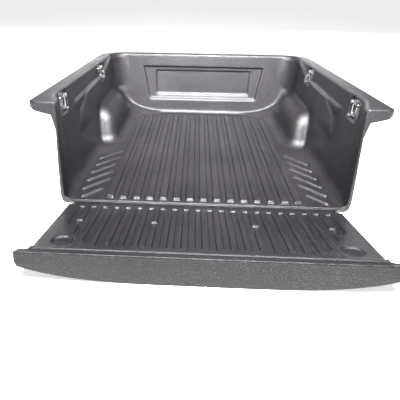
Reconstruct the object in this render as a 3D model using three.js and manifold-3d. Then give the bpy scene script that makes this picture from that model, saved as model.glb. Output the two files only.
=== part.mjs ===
// Drop-in liner for a pickup truck's cargo bed: an over-rail tub, the liner panel of the tailgate
// laid open behind it, and four tie-down rings bolted into pockets of the tub's side walls.
// Millimetres. While the pieces are made, Y = 0 is the tub's rear edge, Y grows towards the cab,
// X is the truck's right and Z = 0 is the ground. At the end the whole group is moved so that the
// origin is the bottom centre of its box.
import * as THREE from "three";
import { mergeVertices } from "three/addons/utils/BufferGeometryUtils.js";
import Module from "manifold-3d";

const wasm = await Module();
wasm.setup();

// ---- driving dimensions ------------------------------------------------------------------------

const SHEET = 5; // thickness of the moulded sheet
const GAP = 0.3; // clearance between pieces that touch
const PAST = 60; // how far a cutting shape runs past the sheet it cuts
const WELD = 0.6 * SHEET; // how deep the wheel arches reach into the walls they join

const TUB = {
  length: 1605, // rear edge to the bulkhead's inner face
  halfWidth: 724, // centre plane to the foot of a side wall
  wallLean: 32, // how far a side wall leans out between floor and rail
  heightRear: 530,
  heightFront: 500,
  footRadius: 55, // fillet between floor and walls
  cornerRadius: 140, // plan radius of the bulkhead's corners
  railWidth: 78,
  railFlange: 34, // how far the rail's outer edge hangs down
  railRound: 8, // cut-off of the rail's upper edges
  pillarInset: 44, // how far the walls draw in at the rear pillars
  pillarReach: 200, // length over which they draw in
};
// The plate across each rear pillar. Its tongue reaches down beside the rear lip, its waist is
// narrow, and its head covers the rail's end. "out" is outboard of the wall's foot.
const PILLAR = {
  tongue: { inner: [4, 58], tip: [32, 20], outer: [50, 70] },
  waist: { out: 30, below: 135 },
  throat: { out: 46, below: 62 },
  head: { inboard: 26, below: 42, corner: 30 },
  inner: { out: 16, below: 130, topOut: 24, topBelow: 14, shoulder: 40 },
};

const FLOOR_TOP = SHEET;
const FOOT_STRIP = 60; // flat strip of floor that each wall carries beyond its fillet
const FLOOR_RIB = { count: 15, pitch: 71, height: 14, base: 44, top: 34, rear: 45, front: 1515 };
const SIDE_RIB = { count: 6, x: 606, rear: 108, pitch: 104, length: 205, rearLength: 150 };
const SIDE_RIB_FORM = { base: 34, top: 18, height: 11, turn: THREE.MathUtils.degToRad(42) };

const ARCH = { innerFace: 612, rearFace: 862, top: 247, edgeRadius: 45, cornerRadius: 75 };

const RECESS = { bottom: 140, top: 396, halfBottom: 450, halfTop: 490, depth: 14 };
const INNER_RECESS = { bottom: 172, top: 364, halfWidth: 388, depth: 12 };

const REAR_LIP = { halfWidth: 690, beadTop: 27, back: 28, edgeRound: 9, crest: 5, front: 16, overlap: 14 };

const POCKET = { width: 124, height: 108, face: 44, belowRail: 71, rearY: 270, frontY: 1130 };
const PLATE = { width: 96, height: 100, corner: 12, thickness: 3, lugSpan: 68, lugWidth: 4, lugHeight: 20 };
const RING = { rod: 9, halfWidth: 25, drop: 62, bend: 16, sleeveRadius: 7, pinRadius: 4, pinDrop: 22 };
const BOLT = { acrossFlats: 13, headHeight: 5.5, shankRadius: 4, length: 26, spread: 39, below: 36 };

const GATE = {
  hingeY: -38, // hinge line behind the tub's rear edge
  hingeZ: 12,
  farEdge: -2, // hinge line to the panel's far edge, which lies just past it
  ridge: 487, // hinge line to the raised bead along the near edge
  nearEdge: 542,
  halfWidth: 692,
  wingHalfWidth: 738,
  wingStart: 503,
  skirtDrop: 101,
  skirtEndDrop: 42,
  skirtDraft: THREE.MathUtils.degToRad(5),
};
// The raised bead along the panel's near edge. "up" is above the panel; "in" is towards the hinge,
// from the near edge or the ridge line.
const GATE_BEAD = {
  near: { in: 6, up: 7 },
  crest: { out: 8, up: 12 },
  far: { in: 4, up: 10 },
  foot: 12,
  overlap: 45,
};
// The long grooves pressed down into the panel, measured over their undersides.
const GROOVE = { count: 22, pitch: 58.2, depth: 9, mouth: 42, floor: 34, start: 14, end: 446 };
const GATE_CHAMFER = { halfWidthFar: 640, from: 208, slope: 0.68 };
const CUP = { x: 588, along: 409, radius: 44, depth: 9 };
const SCREW_POCKET = { mouth: 58, floor: 50, length: 66 };
const SCREW = { along: 218, headRadius: 6, headHeight: 4, shankRadius: 3, length: 24 };
const WASHER = { radius: 9.5, thickness: 2 };

// ---- materials ---------------------------------------------------------------------------------

const linerPlastic = new THREE.MeshStandardMaterial({ color: 0x26272b, roughness: 0.62, metalness: 0 });
const chrome = new THREE.MeshStandardMaterial({ color: 0xd8dadd, roughness: 0.16, metalness: 1 });
const zinc = new THREE.MeshStandardMaterial({ color: 0xa9adb2, roughness: 0.35, metalness: 1 });
const blackSteel = new THREE.MeshStandardMaterial({ color: 0x1d1e20, roughness: 0.45, metalness: 0.8 });

// ---- solids ------------------------------------------------------------------------------------

function solidOf(geometry) {
  const bare = geometry.clone();
  for (const name of Object.keys(bare.attributes)) if (name !== "position") bare.deleteAttribute(name);
  const merged = mergeVertices(bare, 1e-3);
  const triVerts = new Uint32Array(merged.index.array);
  const vertProperties = new Float32Array(merged.attributes.position.array);
  const solid = new wasm.Manifold(new wasm.Mesh({ numProp: 3, vertProperties, triVerts }));
  if (solid.volume() > 0) return solid;
  for (let i = 0; i < triVerts.length; i += 3) {
    [triVerts[i + 1], triVerts[i + 2]] = [triVerts[i + 2], triVerts[i + 1]];
  }
  return new wasm.Manifold(new wasm.Mesh({ numProp: 3, vertProperties, triVerts }));
}

function geometryOf(solid) {
  const mesh = solid.getMesh();
  const positions = new Float32Array(mesh.numVert * 3);
  for (let i = 0; i < mesh.numVert; i++) {
    positions.set(mesh.vertProperties.subarray(i * mesh.numProp, i * mesh.numProp + 3), i * 3);
  }
  const geometry = new THREE.BufferGeometry();
  geometry.setAttribute("position", new THREE.BufferAttribute(positions, 3));
  geometry.setIndex(new THREE.BufferAttribute(new Uint32Array(mesh.triVerts), 1));
  const flat = geometry.toNonIndexed();
  flat.computeVertexNormals();
  return flat;
}

// Drops the crumbs, far under a cubic millimetre, that a cut can leave where two faces nearly agree.
function largestBody(solid) {
  return solid.decompose().reduce((a, b) => (a.volume() > b.volume() ? a : b));
}

function box(low, high) {
  const size = high.map((value, i) => value - low[i]);
  const middle = high.map((value, i) => (value + low[i]) / 2);
  return solidOf(new THREE.BoxGeometry(...size).translate(...middle));
}

function shapeOf(points) {
  return new THREE.Shape(points.map(([a, b]) => new THREE.Vector2(a, b)));
}

// An outline of [y, z] points pushed along X.
function prismAlongX(points, x0, x1) {
  const geometry = new THREE.ExtrudeGeometry(shapeOf(points), { depth: x1 - x0, bevelEnabled: false });
  const turn = new THREE.Matrix4().makeBasis(
    new THREE.Vector3(0, 1, 0),
    new THREE.Vector3(0, 0, 1),
    new THREE.Vector3(1, 0, 0),
  );
  return solidOf(geometry.applyMatrix4(turn).translate(x0, 0, 0));
}

// An outline of [x, z] points pushed along Y.
function prismAlongY(points, y0, y1) {
  const geometry = new THREE.ExtrudeGeometry(shapeOf(points), { depth: y1 - y0, bevelEnabled: false });
  return solidOf(geometry.rotateX(Math.PI / 2).translate(0, y1, 0));
}

function cylinder(radius, length, sides, axis) {
  const geometry = new THREE.CylinderGeometry(radius, radius, length, sides);
  if (axis === "x") geometry.rotateZ(Math.PI / 2);
  if (axis === "z") geometry.rotateX(Math.PI / 2);
  return geometry;
}

// A rib: a block whose four sides lean in from its base to its top, long side along Y.
function ribBlock(base, top, height, length, depthBelow) {
  const lean = (base - top) / 2 / height;
  const foot = base + 2 * lean * depthBelow;
  const footLength = length + 2 * lean * depthBelow;
  const geometry = new THREE.BoxGeometry(foot, footLength, height + depthBelow);
  const position = geometry.attributes.position;
  const topLength = length - (base - top);
  for (let i = 0; i < position.count; i++) {
    if (position.getZ(i) < 0) continue;
    position.setX(i, (position.getX(i) / foot) * top);
    position.setY(i, (position.getY(i) / footLength) * topLength);
  }
  return geometry.translate(0, 0, (height - depthBelow) / 2);
}

// Adds hollow ribs to a sheet with one face at the ribs' foot. Each rib is { x, y, z, turn, form }, and
// its form may be sunk: then it stands down from the sheet's lower face and is open above.
function addRibs(sheet, ribs) {
  const place = (geometry, rib) => {
    if (rib.form.sunk) geometry.rotateX(Math.PI);
    return solidOf(geometry.rotateZ(rib.turn).translate(rib.x, rib.y, rib.z));
  };
  const outers = ribs.map((rib) => {
    const { base, top, height, length } = rib.form;
    return place(ribBlock(base, top, height, length, SHEET / 2), rib);
  });
  const inners = ribs.map((rib) => {
    const { base, top, height, length } = rib.form;
    const shrink = 2 * SHEET;
    return place(ribBlock(base - shrink, top - shrink, height - SHEET, length - shrink, 2 * SHEET), rib);
  });
  return wasm.Manifold.union([sheet, ...outers]).subtract(wasm.Manifold.union(inners));
}

// The closed outline of a sheet that follows an open line of [a, b] points, on the line's right.
function sheetOutline(line, thickness) {
  const normals = line.slice(1).map(([a, b], i) => {
    const [da, db] = [a - line[i][0], b - line[i][1]];
    const length = Math.hypot(da, db);
    return [db / length, -da / length];
  });
  const shifted = line.map(([a, b], i) => {
    const before = normals[Math.max(i - 1, 0)];
    const after = normals[Math.min(i, normals.length - 1)];
    const sum = [before[0] + after[0], before[1] + after[1]];
    const scale = (2 * thickness) / (sum[0] ** 2 + sum[1] ** 2);
    return [a + sum[0] * scale, b + sum[1] * scale];
  });
  return [...line, ...shifted.reverse()];
}

// A solid through a row of stations, each { x, y, nx, ny, outline }, whose outline holds
// [outward, up] points along the station's normal. Every outline has the same number of points.
function loft(stations) {
  const count = stations[0].outline.length;
  const positions = stations.flatMap(({ x, y, nx, ny, outline }) =>
    outline.flatMap(([out, up]) => [x + nx * out, y + ny * out, up]),
  );
  const faces = [];
  for (let s = 0; s + 1 < stations.length; s++) {
    for (let i = 0; i < count; i++) {
      const [a, b] = [s * count + i, s * count + ((i + 1) % count)];
      faces.push(a, b, a + count, b, b + count, a + count);
    }
  }
  const cap = (station) => {
    const contour = stations[station].outline.map(([out, up]) => new THREE.Vector2(out, up));
    return THREE.ShapeUtils.triangulateShape(contour, []).map((face) => face.map((i) => station * count + i));
  };
  const first = stations[0].outline.map(([out, up]) => new THREE.Vector2(out, up));
  const clockwise = THREE.ShapeUtils.isClockWise(first);
  const flip = (face) => [face[0], face[2], face[1]];
  cap(0).forEach((face) => faces.push(...(clockwise ? face : flip(face))));
  cap(stations.length - 1).forEach((face) => faces.push(...(clockwise ? flip(face) : face)));
  const geometry = new THREE.BufferGeometry();
  geometry.setAttribute("position", new THREE.Float32BufferAttribute(positions, 3));
  geometry.setIndex(faces);
  return solidOf(geometry);
}

function meshOf(name, geometry, material) {
  const mesh = new THREE.Mesh(geometry, material);
  mesh.name = name;
  return mesh;
}

// ---- tub ---------------------------------------------------------------------------------------

function pillarInset(y) {
  const t = THREE.MathUtils.clamp(1 - y / TUB.pillarReach, 0, 1);
  return TUB.pillarInset * t * t * (3 - 2 * t);
}

function railHeight(y) {
  return TUB.heightRear + ((TUB.heightFront - TUB.heightRear) * y) / TUB.length;
}

// The cargo side of a wall, from the floor up over the rail to the foot of its outer flange.
function wallLine(y, sideways) {
  const inset = pillarInset(y);
  const lean = TUB.wallLean * sideways;
  const height = railHeight(y);
  const radius = TUB.footRadius;
  const fillet = [0, 22.5, 45, 67.5, 90].map((degrees) => {
    const angle = THREE.MathUtils.degToRad(degrees);
    return [-inset - radius + radius * Math.sin(angle), FLOOR_TOP + radius - radius * Math.cos(angle)];
  });
  const railInner = lean - inset * 0.8;
  const railOuter = lean + TUB.railWidth;
  return [
    [-inset - radius - FOOT_STRIP, FLOOR_TOP],
    ...fillet,
    [railInner, height - TUB.railRound],
    [railInner + TUB.railRound, height],
    [railOuter - TUB.railRound, height],
    [railOuter, height - TUB.railRound],
    [railOuter, height - TUB.railFlange],
  ];
}

// The U of the side walls and the bulkhead, with round corners in plan. The rail's points follow the
// slope of one plane, so that its underside lies flat on the truck all round.
function wallStations(outlineAt) {
  const { halfWidth, length, cornerRadius } = TUB;
  const right = [0, 50, 100, 150, TUB.pillarReach, length - cornerRadius].map((y) => ({
    x: halfWidth,
    y,
    nx: 1,
    ny: 0,
  }));
  const steps = 6;
  for (let i = 1; i <= steps; i++) {
    const angle = (i / steps) * (Math.PI / 2);
    right.push({
      x: halfWidth - cornerRadius + cornerRadius * Math.cos(angle),
      y: length - cornerRadius + cornerRadius * Math.sin(angle),
      nx: Math.cos(angle),
      ny: Math.sin(angle),
    });
  }
  const left = right.map((s) => ({ ...s, x: -s.x, nx: -s.nx })).reverse();
  return [...right, ...left].map((s) => {
    const outline = outlineAt(s.y, Math.abs(s.nx)).map(([out, up]) => {
      const drop = railHeight(s.y + s.ny * out) - railHeight(s.y);
      return [out, up > TUB.heightFront / 2 ? up + drop : up];
    });
    return { ...s, outline };
  });
}

function archForm(inset) {
  const round = ARCH.edgeRadius - inset;
  const corner = ARCH.cornerRadius - inset - round;
  const [x0, y0] = [ARCH.innerFace + inset + round, ARCH.rearFace + inset + round];
  const [x1, y1] = [TUB.halfWidth + 4 * PAST, TUB.length + 2 * PAST];
  const shape = new THREE.Shape();
  shape.moveTo(x1, y0);
  shape.lineTo(x1, y1);
  shape.lineTo(x0, y1);
  shape.lineTo(x0, y0 + corner);
  shape.absarc(x0 + corner, y0 + corner, corner, Math.PI, 1.5 * Math.PI, false);
  const geometry = new THREE.ExtrudeGeometry(shape, {
    depth: ARCH.top - inset - round + PAST,
    bevelThickness: round,
    bevelSize: round,
    bevelSegments: 3,
    curveSegments: 4,
  });
  return solidOf(geometry.translate(0, 0, -PAST));
}

// What lies between the middle of a side wall and the space over the floor, up to above the arches.
function wallBlock() {
  const inboard = -ARCH.innerFace / 2;
  return loft(
    wallStations((y, sideways) => {
      const line = wallLine(y, sideways);
      const outer = sheetOutline(line, WELD).slice(line.length).reverse();
      const filletEnd = outer[5];
      const roof = ARCH.top + PAST;
      const lean = (TUB.wallLean * sideways) / (railHeight(y) - PAST);
      const top = [filletEnd[0] + lean * (roof - filletEnd[1]), roof];
      return [[inboard / 2, outer[0][1]], ...outer.slice(1, 6), top, [inboard / 2, roof]];
    }),
  );
}

function pocketY(place) {
  return place === "rear" ? POCKET.rearY : POCKET.frontY;
}

// Height of the middle of the tie-down pocket at a station.
function pocketZ(y) {
  return railHeight(y) - POCKET.belowRail;
}

// X of the flat bottom of the tie-down pockets, on the right.
const POCKET_FACE = TUB.halfWidth + POCKET.face;

function pocketHollow(y) {
  const [halfWidth, halfHeight] = [POCKET.width / 2, POCKET.height / 2];
  const low = [POCKET_FACE - 45, y - halfWidth, pocketZ(y) - halfHeight];
  return box(low, [POCKET_FACE, y + halfWidth, pocketZ(y) + halfHeight]);
}

function pocketPan(y) {
  const [halfWidth, halfHeight] = [POCKET.width / 2 + SHEET, POCKET.height / 2 + SHEET];
  const low = [POCKET_FACE - 15, y - halfWidth, pocketZ(y) - halfHeight];
  return box(low, [POCKET_FACE + SHEET, y + halfWidth, pocketZ(y) + halfHeight]);
}

function boltPositions(y) {
  return [-1, 1].map((side) => [y + side * BOLT.spread, pocketZ(y) - BOLT.below]);
}

// The plate that closes the rear end of a rail and turns outwards along the rear pillar.
function pillarFlange() {
  const { tongue, waist, throat, head, inner } = PILLAR;
  const top = TUB.heightRear;
  const foot = TUB.halfWidth - TUB.pillarInset;
  const railOuter = TUB.halfWidth + TUB.wallLean + TUB.railWidth;
  const outline = [
    ...[tongue.inner, tongue.tip, tongue.outer].map(([out, up]) => [foot + out, up]),
    [foot + waist.out, top - waist.below],
    [foot + throat.out, top - throat.below],
    [railOuter - head.inboard, top - head.below],
    [railOuter, top - head.corner],
    [railOuter, top - TUB.railRound],
    [railOuter - TUB.railRound, top],
    [foot + inner.shoulder, top],
    [foot + inner.topOut, top - inner.topBelow],
    [foot + inner.out, top - inner.below],
  ];
  return prismAlongY(outline, -SHEET, SHEET / 2);
}

function mirrored(solid) {
  return solid.mirror([1, 0, 0]);
}

function bothSides(solid) {
  return [solid, mirrored(solid)];
}

function bulkheadRecess(inset, outline, y0, y1) {
  const { bottom, top, halfBottom, halfTop } = outline;
  const points = [
    [-halfBottom + inset, bottom + inset],
    [halfBottom - inset, bottom + inset],
    [halfTop - inset, top - inset],
    [-halfTop + inset, top - inset],
  ];
  return prismAlongY(points, y0, y1);
}

function rearLip() {
  const { halfWidth, beadTop, back, edgeRound, crest, front, overlap } = REAR_LIP;
  const line = [
    [-back, 0],
    [-back, beadTop - edgeRound],
    [-back + crest, beadTop - 2],
    [-back / 2, beadTop],
    [crest, beadTop - 2],
    [front, FLOOR_TOP],
    [front + overlap, FLOOR_TOP],
  ];
  return prismAlongX(sheetOutline(line, SHEET), -halfWidth, halfWidth);
}

function floorRibs() {
  const { count, pitch, height, base, top, rear, front } = FLOOR_RIB;
  const form = { base, top, height, length: front - rear };
  const long = Array.from({ length: count }, (_, i) => ({
    x: (i - (count - 1) / 2) * pitch,
    y: (rear + front) / 2,
    z: FLOOR_TOP,
    turn: 0,
    form,
  }));
  const slanted = [];
  for (let i = 0; i < SIDE_RIB.count; i++) {
    for (const side of [-1, 1]) {
      slanted.push({
        x: side * SIDE_RIB.x,
        y: SIDE_RIB.rear + i * SIDE_RIB.pitch,
        z: FLOOR_TOP,
        turn: side * SIDE_RIB_FORM.turn,
        form: { ...SIDE_RIB_FORM, length: i === 0 ? SIDE_RIB.rearLength : SIDE_RIB.length },
      });
    }
  }
  return [...long, ...slanted];
}

function makeTub() {
  const walls = loft(wallStations((y, sideways) => sheetOutline(wallLine(y, sideways), SHEET)));
  const reach = TUB.footRadius + FOOT_STRIP - 10;
  const halfFloor = TUB.halfWidth - reach;
  const floor = box([-halfFloor, 0, 0], [halfFloor, TUB.length - reach, FLOOR_TOP]);
  const inner = INNER_RECESS;
  const innerOutline = { ...inner, halfBottom: inner.halfWidth, halfTop: inner.halfWidth };
  const face = TUB.length;
  const step = face + RECESS.depth;
  const deep = step + inner.depth;

  let tub = wasm.Manifold.union([walls, floor, ...bothSides(pillarFlange()), rearLip()]);
  tub = tub.subtract(bulkheadRecess(0, RECESS, face - PAST, face + PAST));
  const recessPan = bulkheadRecess(-SHEET, RECESS, face + 1, step + SHEET)
    .subtract(bulkheadRecess(0, RECESS, face - PAST, step))
    .subtract(bulkheadRecess(0, innerOutline, face - PAST, face + PAST));
  const innerPan = bulkheadRecess(-SHEET, innerOutline, step + 1, deep + SHEET).subtract(
    bulkheadRecess(0, innerOutline, face - PAST, deep),
  );
  tub = wasm.Manifold.union([tub, recessPan, innerPan]);

  const arch = archForm(0);
  const archShell = arch.subtract(archForm(SHEET)).intersect(wallBlock());
  tub = tub.subtract(wasm.Manifold.union(bothSides(arch)));
  tub = wasm.Manifold.union([tub, ...bothSides(archShell.trimByPlane([0, 0, 1], 0))]);

  for (const y of [POCKET.rearY, POCKET.frontY]) {
    const hollow = pocketHollow(y);
    const holes = boltPositions(y).map(([by, bz]) =>
      solidOf(cylinder(BOLT.shankRadius + GAP, 60, 16, "x").translate(POCKET_FACE, by, bz)),
    );
    const cut = wasm.Manifold.union([hollow, ...holes]);
    tub = tub.subtract(wasm.Manifold.union(bothSides(hollow)));
    tub = wasm.Manifold.union([tub, ...bothSides(pocketPan(y).subtract(cut))]);
  }

  return largestBody(addRibs(tub, floorRibs()));
}

// ---- tie-downs ---------------------------------------------------------------------------------

const PLATE_FACE = POCKET_FACE - GAP - PLATE.thickness;
const PIN_X = PLATE_FACE - RING.sleeveRadius - 3;

function pinZ(y) {
  return pocketZ(y) + PLATE.height / 2 - RING.pinDrop;
}

function tieDownPlate(y) {
  const [halfWidth, halfHeight, cut] = [PLATE.width / 2, PLATE.height / 2, PLATE.corner];
  const outline = [
    [-halfWidth + cut, -halfHeight],
    [halfWidth - cut, -halfHeight],
    [halfWidth, -halfHeight + cut],
    [halfWidth, halfHeight - cut],
    [halfWidth - cut, halfHeight],
    [-halfWidth + cut, halfHeight],
    [-halfWidth, halfHeight - cut],
    [-halfWidth, -halfHeight + cut],
  ].map(([a, b]) => [y + a, pocketZ(y) + b]);
  let plate = prismAlongX(outline, PLATE_FACE, PLATE_FACE + PLATE.thickness);
  for (const side of [-1, 1]) {
    const inner = y + (side * PLATE.lugSpan) / 2;
    const [y0, y1] = [inner, inner + side * PLATE.lugWidth].sort((a, b) => a - b);
    const half = PLATE.lugHeight / 2;
    const lug = box([PIN_X - half, y0, pinZ(y) - half], [PLATE_FACE + 1, y1, pinZ(y) + half]);
    plate = plate.add(lug);
  }
  const pinHole = solidOf(cylinder(RING.pinRadius + GAP, PLATE.width, 16, "y").translate(PIN_X, y, pinZ(y)));
  const boltHoles = boltPositions(y).map(([by, bz]) =>
    solidOf(cylinder(BOLT.shankRadius + GAP, 30, 16, "x").translate(PLATE_FACE, by, bz)),
  );
  return plate.subtract(wasm.Manifold.union([pinHole, ...boltHoles]));
}

function tieDownPin(y) {
  const length = PLATE.lugSpan + 2 * PLATE.lugWidth + 6;
  const rod = solidOf(cylinder(RING.pinRadius, length, 16, "y").translate(PIN_X, y, pinZ(y)));
  const heads = [-1, 1].map((side) =>
    solidOf(cylinder(RING.pinRadius + 2, 3, 16, "y").translate(PIN_X, y + side * (length / 2), pinZ(y))),
  );
  return wasm.Manifold.union([rod, ...heads]);
}

// The D-ring: a sleeve that turns on the pin, with a bent rod welded under it.
function tieDownRing(y) {
  const { halfWidth, drop, rod, bend, sleeveRadius, pinRadius } = RING;
  const path = new THREE.CurvePath();
  const at = (side, down) => new THREE.Vector3(0, side * halfWidth, -down);
  path.add(new THREE.LineCurve3(at(-1, sleeveRadius - 2), at(-1, drop - bend)));
  for (const side of [-1, 1]) {
    const straight = new THREE.Vector3(0, side * (halfWidth - bend), -drop);
    const ends = [at(side, drop - bend), straight];
    if (side === 1) ends.reverse();
    const foot = new THREE.Vector3(0, -(halfWidth - bend), -drop);
    if (side === 1) path.add(new THREE.LineCurve3(foot, straight));
    path.add(new THREE.QuadraticBezierCurve3(ends[0], at(side, drop), ends[1]));
  }
  path.add(new THREE.LineCurve3(at(1, drop - bend), at(1, sleeveRadius - 2)));
  const section = new THREE.Shape().absarc(0, 0, rod / 2, 0, 2 * Math.PI);
  const bow = new THREE.ExtrudeGeometry(section, { extrudePath: path, steps: 24, curveSegments: 4 });
  const sleeve = solidOf(cylinder(sleeveRadius, PLATE.lugSpan - 2, 16, "y"));
  const bore = solidOf(cylinder(pinRadius + GAP, PLATE.lugSpan, 16, "y"));
  return solidOf(bow).add(sleeve).subtract(bore).translate([PIN_X, y, pinZ(y)]);
}

function hexBolt(y, z) {
  const head = cylinder(BOLT.acrossFlats / Math.sqrt(3), BOLT.headHeight, 6, "x");
  const face = PLATE_FACE - GAP;
  const shank = cylinder(BOLT.shankRadius, BOLT.length, 16, "x");
  const headSolid = solidOf(head.translate(face - BOLT.headHeight / 2, y, z));
  return headSolid.add(solidOf(shank.translate(face + BOLT.length / 2 - 1, y, z)));
}

function makeTieDowns() {
  const group = new THREE.Group();
  for (const side of ["left", "right"]) {
    for (const place of ["rear", "front"]) {
      const y = pocketY(place);
      const name = (piece) => `${side}_${place}_${piece}`;
      const add = (piece, solid, material) => {
        const placed = side === "left" ? mirrored(solid) : solid;
        group.add(meshOf(name(piece), geometryOf(placed), material));
      };
      add("tie_down_plate", tieDownPlate(y), chrome);
      add("ring_pin", tieDownPin(y), chrome);
      add("tie_down_ring", tieDownRing(y), chrome);
      boltPositions(y).forEach(([by, bz], i) => add(`plate_bolt_${i + 1}`, hexBolt(by, bz), zinc));
    }
  }
  return group;
}

// ---- tailgate liner ----------------------------------------------------------------------------
// Made flat: the hinge line is X, the panel runs out along -Y and its upper face is at +SHEET / 2.

const GATE_TOP = SHEET / 2;
const SCREW_SEAT = GATE_TOP - GROOVE.depth;
const SKIRT_POWER = 3.8; // how late the skirt's lower edge turns up towards its ends

function skirtEdge(x) {
  const { skirtDrop, skirtEndDrop, wingHalfWidth } = GATE;
  return -skirtDrop + (skirtDrop - skirtEndDrop) * (Math.abs(x) / wingHalfWidth) ** SKIRT_POWER;
}

function gateBorder() {
  const { ridge, nearEdge, skirtDrop, skirtDraft, wingHalfWidth } = GATE;
  const bead = GATE_BEAD;
  const reach = nearEdge + skirtDrop * Math.tan(skirtDraft);
  const line = [
    [-reach, -skirtDrop],
    [-nearEdge, GATE_TOP],
    [-nearEdge + bead.near.in, GATE_TOP + bead.near.up],
    [-ridge - bead.crest.out, GATE_TOP + bead.crest.up],
    [-ridge + bead.far.in, GATE_TOP + bead.far.up],
    [-ridge + bead.foot, GATE_TOP],
    [-ridge + bead.overlap, GATE_TOP],
  ];
  const border = prismAlongX(sheetOutline(line, SHEET), -wingHalfWidth, wingHalfWidth);
  const steps = 24;
  const below = Array.from({ length: steps + 1 }, (_, i) => {
    const x = -wingHalfWidth + (2 * wingHalfWidth * i) / steps;
    return [x, skirtEdge(x)];
  });
  const floor = -skirtDrop - PAST;
  const side = wingHalfWidth + PAST;
  const trimOutline = [[-side, floor], [side, floor], ...below.reverse()];
  const trim = prismAlongY(trimOutline, -reach - PAST, -nearEdge + PAST);
  const corners = box([GATE.halfWidth, -GATE.wingStart, -PAST], [side, 0, PAST]);
  return border.subtract(trim).subtract(wasm.Manifold.union(bothSides(corners)));
}

function pressedDown(x, along, mouth, floor, length) {
  const form = { base: mouth, top: floor, height: GROOVE.depth, length, sunk: true };
  return { x, y: -along, z: -SHEET / 2, turn: 0, form };
}

function grooves() {
  const { count, pitch, start, end, mouth, floor } = GROOVE;
  return Array.from({ length: count }, (_, i) => {
    const x = (i - (count - 1) / 2) * pitch;
    const beyond = Math.max(GATE_CHAMFER.halfWidthFar - Math.abs(x), 0);
    const stop = Math.min(end, GATE_CHAMFER.from + beyond / GATE_CHAMFER.slope);
    return pressedDown(x, (start + stop) / 2, mouth, floor, stop - start);
  });
}

function screwPositions() {
  return [-10, -4, 4, 10].map((k) => k * GROOVE.pitch);
}

function screwPockets() {
  const { mouth, floor, length } = SCREW_POCKET;
  return screwPositions().map((x) => pressedDown(x, SCREW.along, mouth, floor, length));
}

function makeGate() {
  const { halfWidth, farEdge, ridge } = GATE;
  let gate = box([-halfWidth, -ridge + 40, -SHEET / 2], [halfWidth, -farEdge, GATE_TOP]).add(gateBorder());
  const cups = [-CUP.x, CUP.x].map((x) => {
    const centre = [x, -CUP.along];
    const bottom = GATE_TOP - CUP.depth - SHEET;
    const height = GATE_TOP - bottom;
    const outer = cylinder(CUP.radius + SHEET, height - 1, 32, "z");
    outer.translate(...centre, bottom + (height - 1) / 2);
    const hollow = cylinder(CUP.radius, 60, 32, "z").translate(...centre, GATE_TOP - CUP.depth + 30);
    return { outer: solidOf(outer), hollow: solidOf(hollow) };
  });
  gate = wasm.Manifold.union([gate, ...cups.map((cup) => cup.outer)]);
  gate = gate.subtract(wasm.Manifold.union(cups.map((cup) => cup.hollow)));
  const holes = screwPositions().map((x) =>
    solidOf(cylinder(SCREW.shankRadius + GAP, 40, 16, "z").translate(x, -SCREW.along, 0)),
  );
  return addRibs(gate, [...grooves(), ...screwPockets()]).subtract(wasm.Manifold.union(holes));
}

function makeWasher(x) {
  const disc = cylinder(WASHER.radius, WASHER.thickness, 24, "z");
  const hole = cylinder(SCREW.shankRadius + GAP, 20, 16, "z");
  const z = SCREW_SEAT + GAP + WASHER.thickness / 2;
  return solidOf(disc.translate(x, -SCREW.along, z)).subtract(solidOf(hole.translate(x, -SCREW.along, z)));
}

function makeScrew(x) {
  const seat = SCREW_SEAT + 2 * GAP + WASHER.thickness;
  const profile = [
    [0, seat - SCREW.length],
    [SCREW.shankRadius, seat - SCREW.length],
    [SCREW.shankRadius, seat],
    [SCREW.headRadius, seat],
    [SCREW.headRadius * 0.9, seat + SCREW.headHeight * 0.7],
    [SCREW.headRadius * 0.6, seat + SCREW.headHeight],
    [0, seat + SCREW.headHeight],
  ].map(([a, b]) => new THREE.Vector2(a, b));
  const lathe = new THREE.LatheGeometry(profile, 16).rotateX(Math.PI / 2);
  return solidOf(lathe.translate(x, -SCREW.along, 0));
}

// The tilt at which the panel, turned up about its hinge line, rests on the middle of its skirt:
// the skirt's inner bottom edge is then at ground level.
function restTilt() {
  const out = GATE.nearEdge + GATE.skirtDrop * Math.tan(GATE.skirtDraft) - SHEET / Math.cos(GATE.skirtDraft);
  return Math.atan2(GATE.skirtDrop, out) - Math.asin(GATE.hingeZ / Math.hypot(out, GATE.skirtDrop));
}

function makeTailgate() {
  const group = new THREE.Group();
  group.add(meshOf("tailgate_liner", geometryOf(makeGate()), linerPlastic));
  const names = ["left_outer", "left_inner", "right_inner", "right_outer"];
  screwPositions().forEach((x, i) => {
    group.add(meshOf(`${names[i]}_gate_washer`, geometryOf(makeWasher(x)), blackSteel));
    group.add(meshOf(`${names[i]}_gate_screw`, geometryOf(makeScrew(x)), blackSteel));
  });
  group.position.set(0, GATE.hingeY, GATE.hingeZ);
  group.rotation.x = -restTilt();
  return group;
}

// ---- the whole part ----------------------------------------------------------------------------

const part = new THREE.Group();
part.add(meshOf("tub_liner", geometryOf(makeTub()), linerPlastic));
part.add(makeTieDowns());
part.add(makeTailgate());

part.updateMatrixWorld(true);
const bounds = new THREE.Box3().setFromObject(part, true);
const middle = bounds.getCenter(new THREE.Vector3());
part.position.set(-middle.x, -middle.y, -bounds.min.z);

export default part;
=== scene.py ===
import math

import bmesh
import bpy
import numpy as np
from mathutils import Matrix, Vector


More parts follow.
